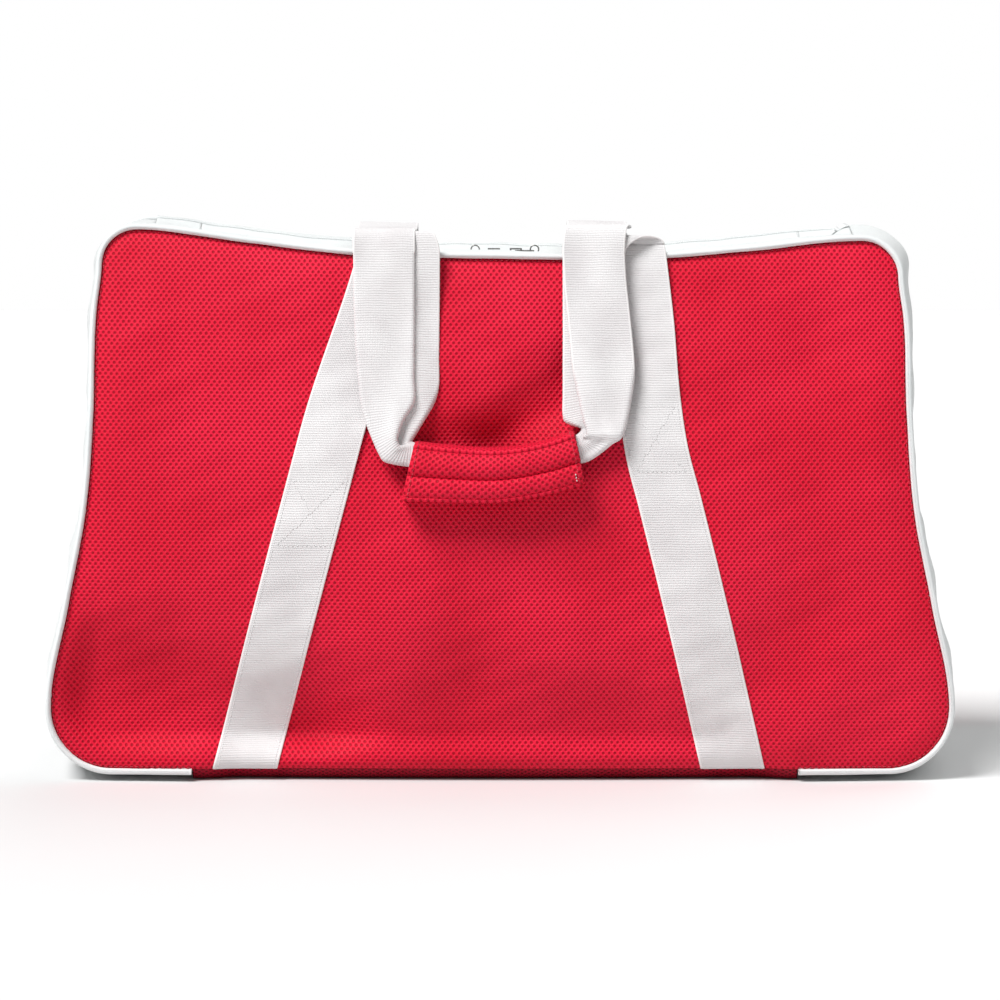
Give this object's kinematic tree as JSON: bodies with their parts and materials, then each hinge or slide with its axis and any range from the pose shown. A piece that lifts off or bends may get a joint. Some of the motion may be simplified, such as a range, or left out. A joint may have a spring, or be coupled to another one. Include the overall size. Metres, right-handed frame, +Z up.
{
  "type": "hockey equipment bag",
  "caption": "Soft holdall of red spacer mesh with white gusset and piping, a zipper across the top, and webbing handles gathered in a padded grip.",
  "frame": {"origin": "middle of the base, on the surface the bag stands on", "axes": "+X along the bag to the right as seen from the front, -Y out of the front wall, +Z up"},
  "size_m": [0.73, 0.325, 0.4395],
  "materials": {
    "red_mesh": "red spacer mesh with small round holes",
    "white_gusset": "white tight-knit mesh cloth",
    "white_webbing": "ribbed white webbing",
    "white_piping": "white piping cord cover",
    "binding_tape": "white woven binding",
    "zipper_tape": "woven zipper tape",
    "zipper_coil": "white coil",
    "zipper_metal": "nickel-plated die casting",
    "base_board": "dark stiffener board",
    "hook_and_loop": "red hook-and-loop tape"
  },
  "bodies": {
    "bag": {"back_bend_left": "white_webbing", "back_bend_right": "white_webbing", "back_cross_left": "white_webbing", "back_cross_right": "white_webbing", "back_panel": "red_mesh", "back_rise_left": "white_webbing", "back_rise_right": "white_webbing", "back_strap_left": "white_webbing", "back_strap_right": "white_webbing", "base_board": "base_board", "binding_back": "binding_tape", "binding_front": "binding_tape", "bottom_panel": "red_mesh", "front_bend_left": "white_webbing", "front_bend_right": "white_webbing", "front_panel": "red_mesh", "front_rise_left": "white_webbing", "front_rise_right": "white_webbing", "front_strap_left": "white_webbing", "front_strap_right": "white_webbing", "piping_back": "white_piping", "piping_front": "white_piping", "side_gusset_left": "white_gusset", "side_gusset_right": "white_gusset", "top_end_left": "white_gusset", "top_end_right": "white_gusset", "top_margin_front": "white_gusset", "top_margin_rear": "white_gusset", "zipper_end_left": "zipper_tape", "zipper_end_right": "zipper_tape"},
    "top_flap_front": {"top_flap_front": "white_gusset", "zipper_tape_front": "zipper_tape", "zipper_chain_front": "zipper_coil"},
    "top_flap_rear": {"top_flap_rear": "white_gusset", "zipper_tape_rear": "zipper_tape", "zipper_chain_rear": "zipper_coil"},
    "slider_left": {"slider_left": "zipper_metal"},
    "slider_right": {"slider_right": "zipper_metal"},
    "pull_left": {"pull_left": "zipper_metal"},
    "pull_right": {"pull_right": "zipper_metal"},
    "ring_left": {"ring_left": "zipper_metal"},
    "ring_right": {"ring_right": "zipper_metal"},
    "handles": {"front_handle_left": "white_webbing", "front_handle_right": "white_webbing", "back_handle_left": "white_webbing", "back_handle_right": "white_webbing", "front_handle_grip": "white_webbing", "back_handle_grip": "white_webbing", "grip_wrap": "red_mesh", "loop_tape": "hook_and_loop"},
    "wrap_flap": {"wrap_flap": "red_mesh", "hook_tape": "hook_and_loop"}
  },
  "joints": [
    {"name": "slider_left_slide", "type": "slide", "parent": "bag", "child": "slider_left", "axis": [-1, 0, 0], "range_m": [0, 0.255]},
    {"name": "pull_left_tilt", "type": "hinge", "parent": "slider_left", "child": "pull_left", "pos_m": [-0.005, 0, 0.4173], "axis": [0, 1, 0], "range_deg": [0, 100]},
    {"name": "ring_left_swing", "type": "hinge", "parent": "pull_left", "child": "ring_left", "pos_m": [-0.0171, 0, 0.4173], "axis": [0, 1, 0], "range_deg": [0, 24]},
    {"name": "slider_right_slide", "type": "slide", "parent": "bag", "child": "slider_right", "axis": [1, 0, 0], "range_m": [0, 0.255]},
    {"name": "pull_right_tilt", "type": "hinge", "parent": "slider_right", "child": "pull_right", "pos_m": [0.013, 0, 0.4173], "axis": [0, -1, 0], "range_deg": [0, 100]},
    {"name": "ring_right_swing", "type": "hinge", "parent": "pull_right", "child": "ring_right", "pos_m": [0.0251, 0, 0.4173], "axis": [0, -1, 0], "range_deg": [0, 24]},
    {"name": "handles_lift", "type": "hinge", "parent": "bag", "child": "handles", "pos_m": [0, -0.0945, 0.427], "axis": [-1, 0, 0], "range_deg": [0, 180], "deforming": ["front_bend_left", "front_bend_right", "back_bend_left", "back_bend_right"]},
    {"name": "grip_flap_open", "type": "hinge", "parent": "handles", "child": "wrap_flap", "pos_m": [0, -0.14791, 0.28087], "axis": [-1, 0, 0], "range_deg": [0, 135]},
    {"name": "top_flap_front_droop", "type": "hinge", "parent": "bag", "child": "top_flap_front", "pos_m": [0, -0.062, 0.4165], "axis": [-1, 0, 0], "range_deg": [0, 75.5]},
    {"name": "top_flap_rear_droop", "type": "hinge", "parent": "bag", "child": "top_flap_rear", "pos_m": [0, 0.062, 0.4165], "axis": [1, 0, 0], "range_deg": [0, 75.5]}
  ],
  "couplings": [
    {"joint": "top_flap_front_droop", "follows": "slider_left_slide", "rad_per_m": 5.1333},
    {"joint": "top_flap_rear_droop", "follows": "slider_right_slide", "rad_per_m": 5.1333}
  ]
}
